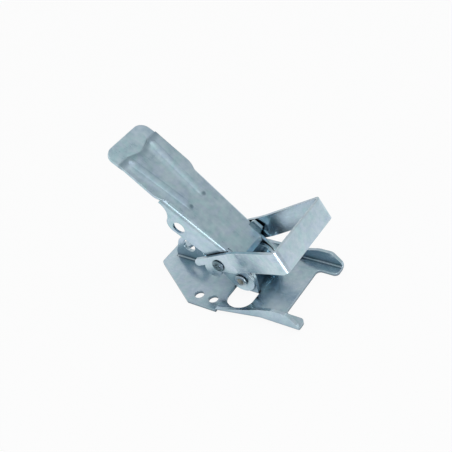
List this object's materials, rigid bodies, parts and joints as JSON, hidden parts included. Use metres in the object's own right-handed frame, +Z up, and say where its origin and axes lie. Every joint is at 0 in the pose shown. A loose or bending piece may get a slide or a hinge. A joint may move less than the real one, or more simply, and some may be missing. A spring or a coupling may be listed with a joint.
{
  "type": "over-centre platform latch",
  "caption": "Zinc-plated over-centre latch for a trailer platform's drop side: pressed base plate, lever handle and a strap bail that is drawn over a keeper.",
  "frame": {"origin": "underside of the base plate, on the middle plane, straight below the handle's pivot", "axes": "+X towards the fork's prongs, Y across the plate along the pivot, +Z up out of the plate"},
  "size_m": [0.1478, 0.0804, 0.1082],
  "materials": {
    "zinc_plate": "bluish zinc plating on pressed sheet, satin with a soft rolled sheen",
    "zinc_pin": "zinc plating on rolled and headed rivets, satin"
  },
  "bodies": {
    "base": {"base_plate": "zinc_plate", "pivot_pin": "zinc_pin"},
    "lever": {"handle": "zinc_plate"},
    "rivets": {"bail_rivet_left": "zinc_pin", "bail_rivet_right": "zinc_pin"},
    "hoop": {"bail": "zinc_plate"}
  },
  "joints": [
    {"name": "handle_swing", "type": "hinge", "parent": "base", "child": "lever", "pos_m": [0, 0, 0.01475], "axis": [0, 1, 0], "range_deg": [-40, 80]},
    {"name": "rivet_level", "type": "hinge", "parent": "lever", "child": "rivets", "pos_m": [-0.01388, 0, 0.02828], "axis": [0, 1, 0], "range_deg": [-80, 40]},
    {"name": "bail_swing", "type": "hinge", "parent": "rivets", "child": "hoop", "pos_m": [-0.01388, 0, 0.02828], "axis": [0, 1, 0], "range_deg": [-12, 28]}
  ],
  "couplings": [
    {"joint": "rivet_level", "follows": "handle_swing", "ratio": -1}
  ]
}
